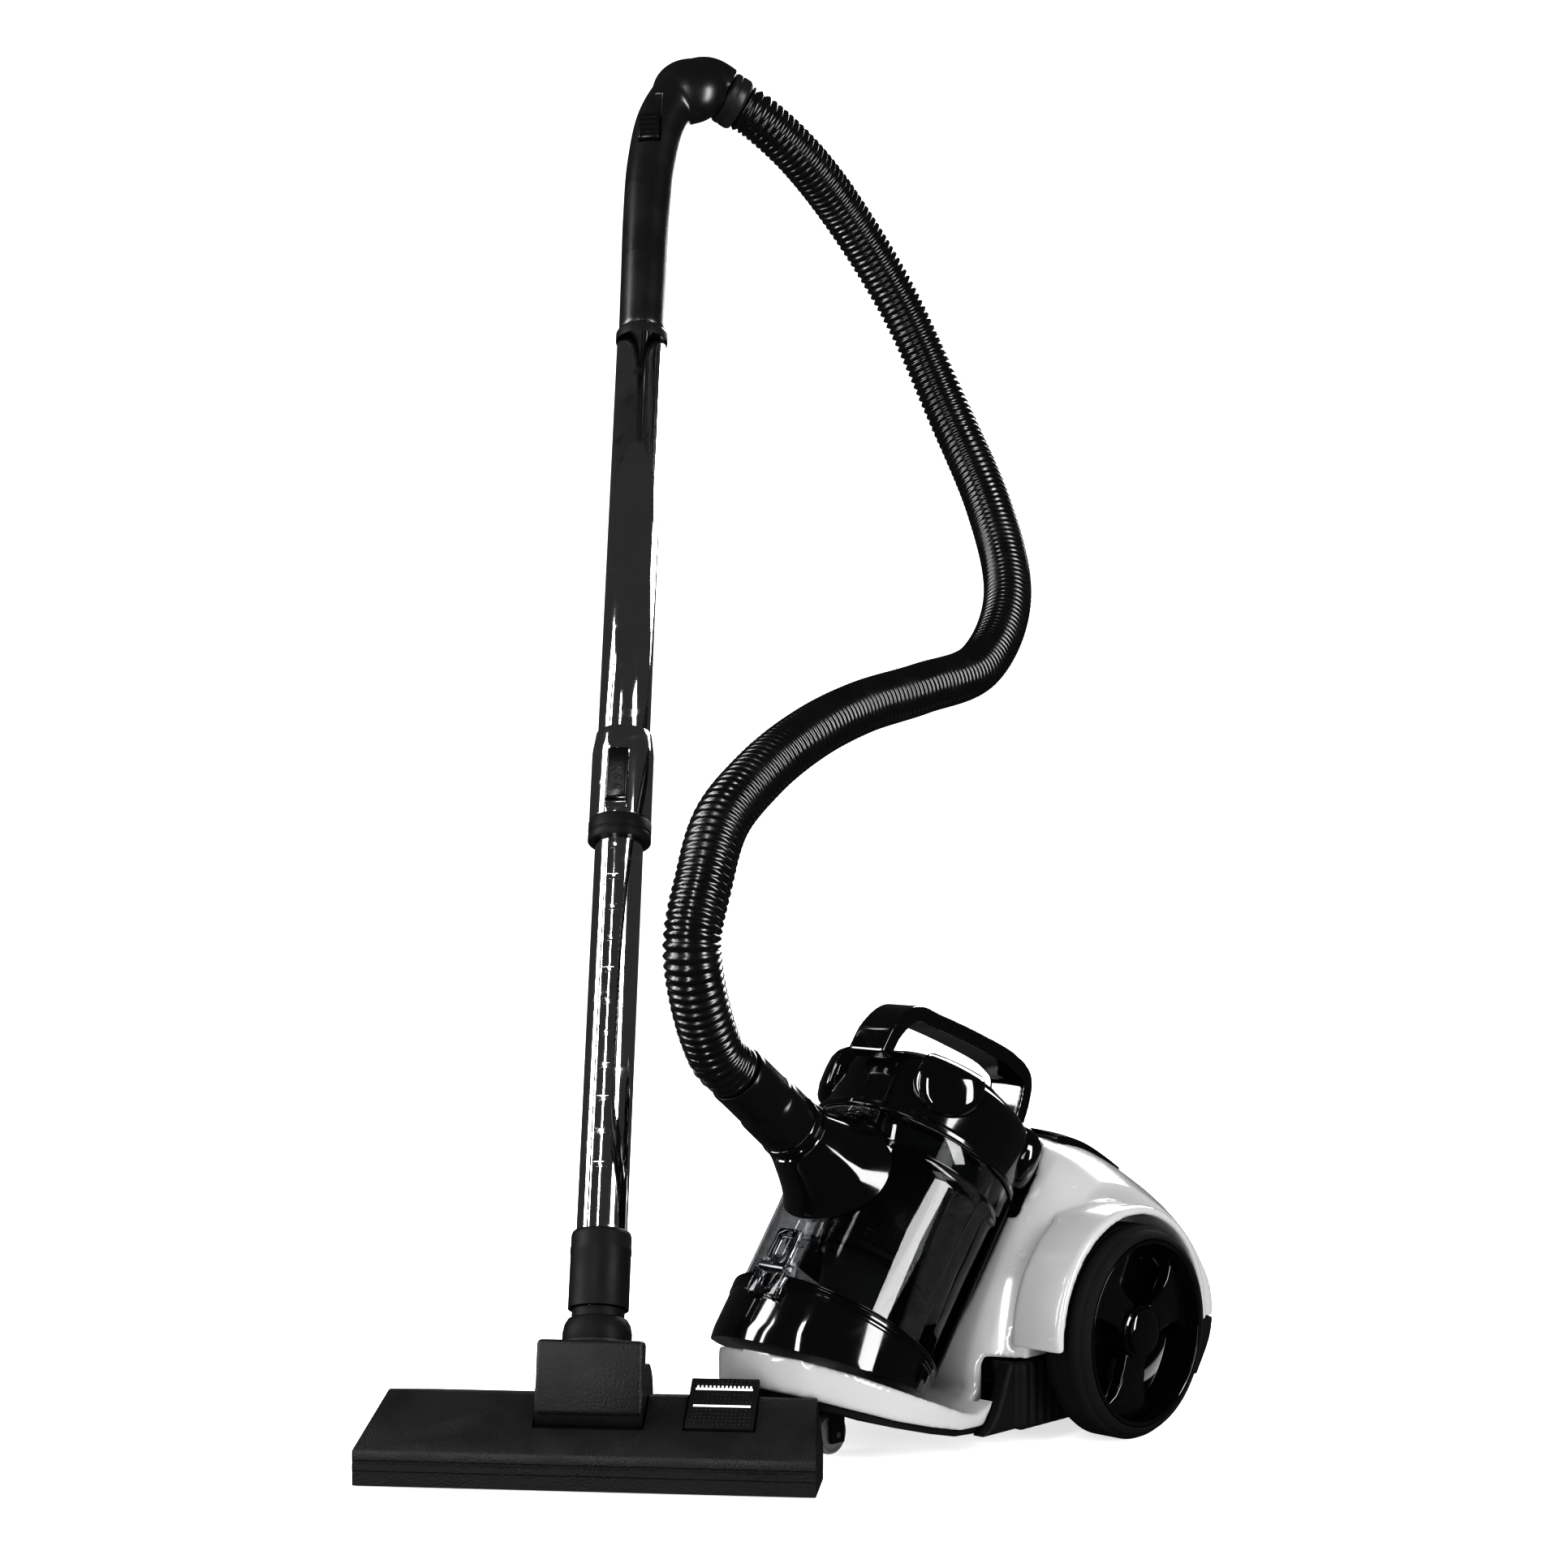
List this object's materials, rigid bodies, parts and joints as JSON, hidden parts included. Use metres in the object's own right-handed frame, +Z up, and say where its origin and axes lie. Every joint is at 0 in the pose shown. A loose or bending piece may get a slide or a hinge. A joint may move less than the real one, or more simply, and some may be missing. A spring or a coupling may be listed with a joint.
{
  "type": "canister vacuum cleaner",
  "caption": "Bagless cyclone canister vacuum cleaner with a leaning dust bin, corrugated hose, telescopic chrome wand and floor tool.",
  "frame": {"origin": "middle of the floor under the object's bounding box, measured without the free hose", "axes": "+Z up, the canister's front faces -Y and its left side is +X"},
  "size_m": [0.4432, 0.6685, 0.9705],
  "materials": {
    "white_shell": "glossy white moulded plastic",
    "gloss_black": "piano black gloss plastic",
    "matte_black": "fine textured black plastic",
    "slider_black": "satin black plastic",
    "tyre_rubber": "matt dark rubber tread",
    "hose_black": "corrugated flexible black plastic",
    "chrome_tube": "polished chrome plated steel",
    "smoked_clear": "smoked transparent plastic",
    "clear_latch": "clear grey plastic",
    "grey_plastic": "light grey plastic",
    "bright_steel": "brushed steel",
    "soft_rubber": "soft black rubber",
    "filter_foam": "pleated and foam filter media",
    "brush_bristle": "dense black bristle"
  },
  "bodies": {
    "canister": {"body_shell": "white_shell", "lower_chassis": "matte_black", "tongue_plate": "matte_black", "axle_left": "bright_steel", "axle_right": "bright_steel", "motor": "bright_steel", "motor_mount": "soft_rubber", "reel_axle": "bright_steel", "exhaust_filter": "filter_foam", "cord_outlet": "matte_black", "bin_shell": "smoked_clear", "bin_seal": "soft_rubber", "bin_cup": "gloss_black", "bin_back_frame": "matte_black", "cyclone_shroud": "matte_black", "cyclone_cone": "grey_plastic", "shroud_skirt": "matte_black", "latch_hook": "clear_latch", "latch_pin": "bright_steel", "bin_cap": "gloss_black", "lid_filter": "filter_foam", "carry_handle": "gloss_black", "inlet_fairing": "gloss_black", "hose": "hose_black", "lower_tube": "chrome_tube", "wand_cuff": "matte_black", "neck_elbow": "matte_black"},
    "wheel_left": {"tyre_left": "tyre_rubber", "wheel_hub_left": "gloss_black", "hub_cap_left": "gloss_black"},
    "wheel_right": {"tyre_right": "tyre_rubber", "wheel_hub_right": "gloss_black", "hub_cap_right": "gloss_black"},
    "caster_swivel": {"caster_fork": "matte_black", "caster_pin": "bright_steel"},
    "caster_roll": {"caster_wheel": "grey_plastic"},
    "power_pedal": {"power_pedal": "gloss_black"},
    "rewind_pedal": {"rewind_pedal": "gloss_black"},
    "exhaust_door": {"exhaust_cover": "matte_black"},
    "impeller": {"fan_impeller": "grey_plastic"},
    "reel": {"cord_reel": "grey_plastic"},
    "latch": {"latch_loop": "clear_latch"},
    "release_button": {"bin_release_button": "matte_black"},
    "hose_end": {"swivel_ring": "gloss_black", "hose_cuff_canister": "matte_black"},
    "upper_wand": {"upper_tube": "chrome_tube", "tube_collar": "matte_black", "coupler_sleeve": "chrome_tube", "coupler_ring": "matte_black", "wand_handle": "matte_black"},
    "handle_cuff": {"hose_cuff_handle": "grey_plastic"},
    "suction_control": {"suction_slider": "slider_black"},
    "tube_button": {"coupler_button": "slider_black"},
    "neck": {"neck_housing": "matte_black"},
    "floor_tool": {"nozzle_body": "matte_black", "nozzle_sole": "bright_steel"},
    "tool_pedal": {"brush_pedal": "matte_black"},
    "brush": {"brush_strip": "brush_bristle"},
    "roller_right": {"nozzle_roller_right": "grey_plastic"},
    "roller_left": {"nozzle_roller_left": "grey_plastic"}
  },
  "joints": [
    {"name": "wheel_left_spin", "type": "hinge", "parent": "canister", "child": "wheel_left", "pos_m": [0.19959, 0.13117, 0.069], "axis": [1, 0, 0], "continuous": true},
    {"name": "wheel_right_spin", "type": "hinge", "parent": "canister", "child": "wheel_right", "pos_m": [-0.02041, 0.13117, 0.069], "axis": [1, 0, 0], "continuous": true},
    {"name": "caster_swivel", "type": "hinge", "parent": "canister", "child": "caster_swivel", "pos_m": [0.08959, -0.05383, 0.03], "axis": [0, 0, 1], "continuous": true},
    {"name": "caster_roll", "type": "hinge", "parent": "caster_swivel", "child": "caster_roll", "pos_m": [0.08959, -0.03783, 0.013], "axis": [1, 0, 0], "continuous": true},
    {"name": "power_pedal_press", "type": "hinge", "parent": "canister", "child": "power_pedal", "pos_m": [0.10759, 0.15317, 0.184], "axis": [-1, 0, 0], "range_deg": [0, 3], "stiffness_Nm_per_rad": 0.6},
    {"name": "rewind_pedal_press", "type": "hinge", "parent": "canister", "child": "rewind_pedal", "pos_m": [0.07159, 0.15317, 0.184], "axis": [-1, 0, 0], "range_deg": [0, 3], "stiffness_Nm_per_rad": 0.6},
    {"name": "exhaust_cover_open", "type": "hinge", "parent": "canister", "child": "exhaust_door", "pos_m": [0.08959, 0.29697, 0.0619], "axis": [-1, 0, 0], "range_deg": [0, 75]},
    {"name": "impeller_spin", "type": "hinge", "parent": "canister", "child": "impeller", "pos_m": [0.08959, 0.10717, 0.082], "axis": [0, 1, 0], "continuous": true},
    {"name": "cord_reel_spin", "type": "hinge", "parent": "canister", "child": "reel", "pos_m": [0.08959, 0.22917, 0.066], "axis": [1, 0, 0], "continuous": true},
    {"name": "latch_swing", "type": "hinge", "parent": "canister", "child": "latch", "pos_m": [0.08959, -0.08619, 0.12384], "axis": [1, 0, 0], "range_deg": [0, 110]},
    {"name": "release_button_press", "type": "slide", "parent": "canister", "child": "release_button", "axis": [0, -0.6018, -0.7986], "range_m": [0, 0.003], "stiffness_N_per_m": 250},
    {"name": "hose_swivel", "type": "hinge", "parent": "canister", "child": "hose_end", "pos_m": [0.08959, 0.01812, 0.14229], "axis": [0, -0.7986, 0.6018], "continuous": true},
    {"name": "wand_telescope", "type": "slide", "parent": "canister", "child": "upper_wand", "axis": [0.2503, -0.2965, -0.9216], "range_m": [0, 0.215], "deforming": ["hose"]},
    {"name": "handle_cuff_swivel", "type": "hinge", "parent": "upper_wand", "child": "handle_cuff", "pos_m": [-0.18289, 0.1678, 0.93319], "axis": [0.4673, 0.7428, -0.4795], "continuous": true},
    {"name": "suction_slide", "type": "slide", "parent": "upper_wand", "child": "suction_control", "axis": [-0.2503, 0.2965, 0.9216], "range_m": [0, 0.018]},
    {"name": "tube_button_slide", "type": "slide", "parent": "upper_wand", "child": "tube_button", "axis": [0.2503, -0.2965, -0.9216], "range_m": [0, 0.006], "stiffness_N_per_m": 250},
    {"name": "neck_swivel", "type": "hinge", "parent": "canister", "child": "neck", "pos_m": [0.02514, -0.17867, 0.046], "axis": [0.2503, -0.2965, -0.9216], "range_deg": [0, 80]},
    {"name": "nozzle_tilt", "type": "hinge", "parent": "neck", "child": "floor_tool", "pos_m": [0.02514, -0.17867, 0.046], "axis": [0.7992, 0.6011, 0], "range_deg": [-14, 1.5]},
    {"name": "brush_pedal_rock", "type": "hinge", "parent": "floor_tool", "child": "tool_pedal", "pos_m": [0.09271, -0.1354, 0.04516], "axis": [0.7992, 0.6011, 0], "range_deg": [0, 5]},
    {"name": "brush_lift", "type": "slide", "parent": "floor_tool", "child": "brush", "axis": [0, 0, 1], "range_m": [0, 0.003]},
    {"name": "roller_right_spin", "type": "hinge", "parent": "floor_tool", "child": "roller_right", "pos_m": [-0.03603, -0.19716, 0.009], "axis": [0.7992, 0.6011, 0], "continuous": true},
    {"name": "roller_left_spin", "type": "hinge", "parent": "floor_tool", "child": "roller_left", "pos_m": [0.05987, -0.12502, 0.009], "axis": [0.7992, 0.6011, 0], "continuous": true}
  ],
  "couplings": [
    {"joint": "brush_lift", "follows": "brush_pedal_rock", "m_per_rad": 0.0343}
  ]
}
